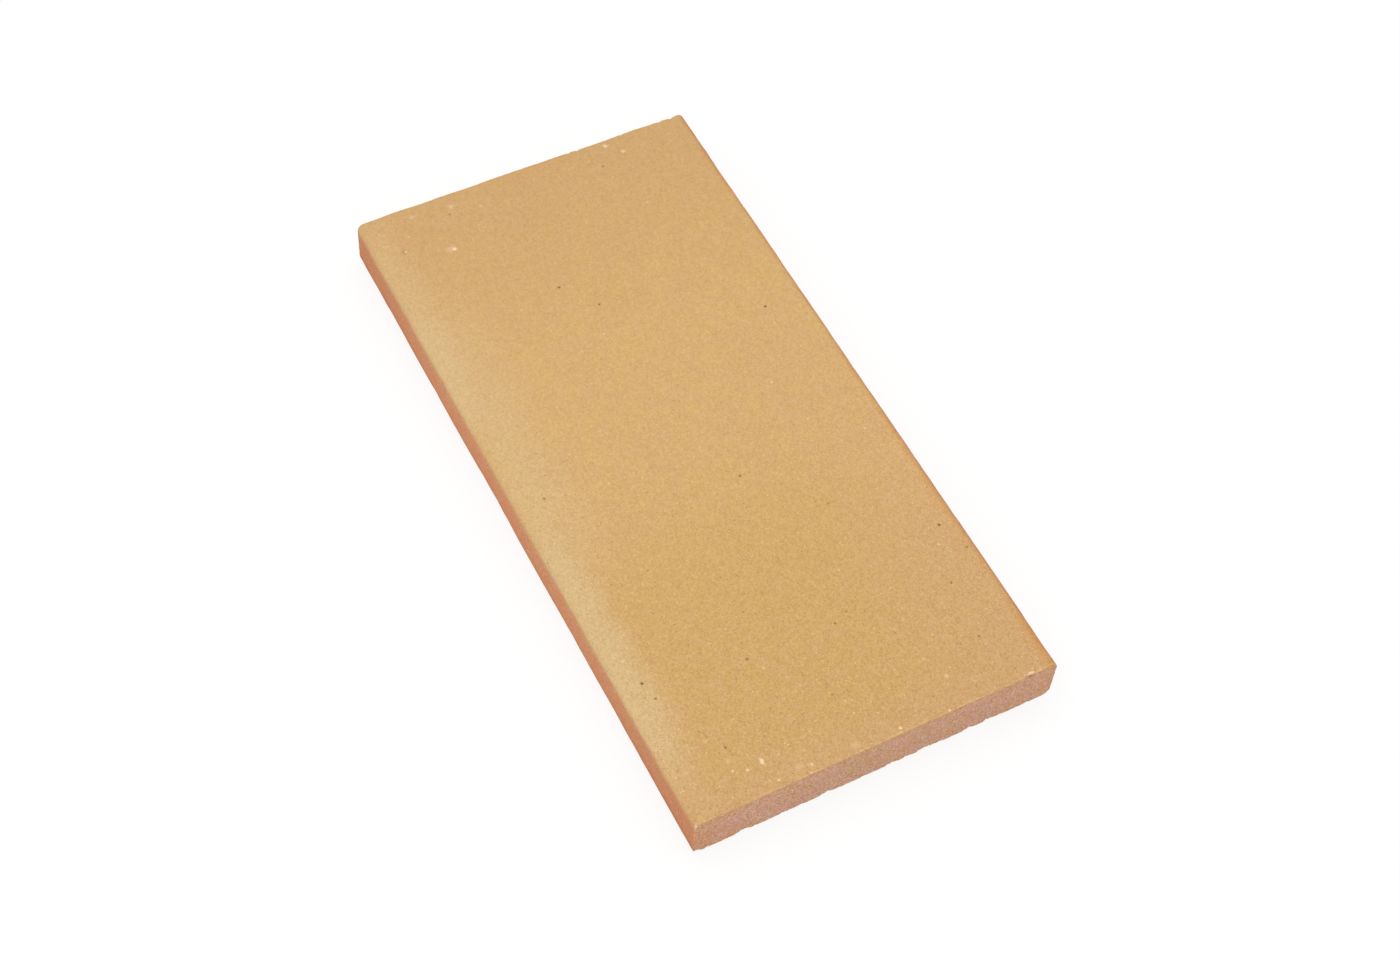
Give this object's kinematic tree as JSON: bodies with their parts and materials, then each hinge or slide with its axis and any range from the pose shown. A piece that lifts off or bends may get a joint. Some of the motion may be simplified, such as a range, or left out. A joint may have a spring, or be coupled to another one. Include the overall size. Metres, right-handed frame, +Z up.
{
  "type": "fireclay slab",
  "caption": "Flat rectangular slab of fired fireclay with rounded long edges and square cut ends, for lining stoves, fireplaces and kilns.",
  "frame": {"origin": "middle of the underside, on the surface that the slab lies on", "axes": "+X along the length, +Y across the width, +Z up through the thickness"},
  "size_m": [0.4, 0.2, 0.03],
  "materials": {
    "fireclay": "unglazed, fine sandy skin, rough cut ends"
  },
  "bodies": {
    "root": {"fireclay_slab": "fireclay"}
  },
  "joints": []
}
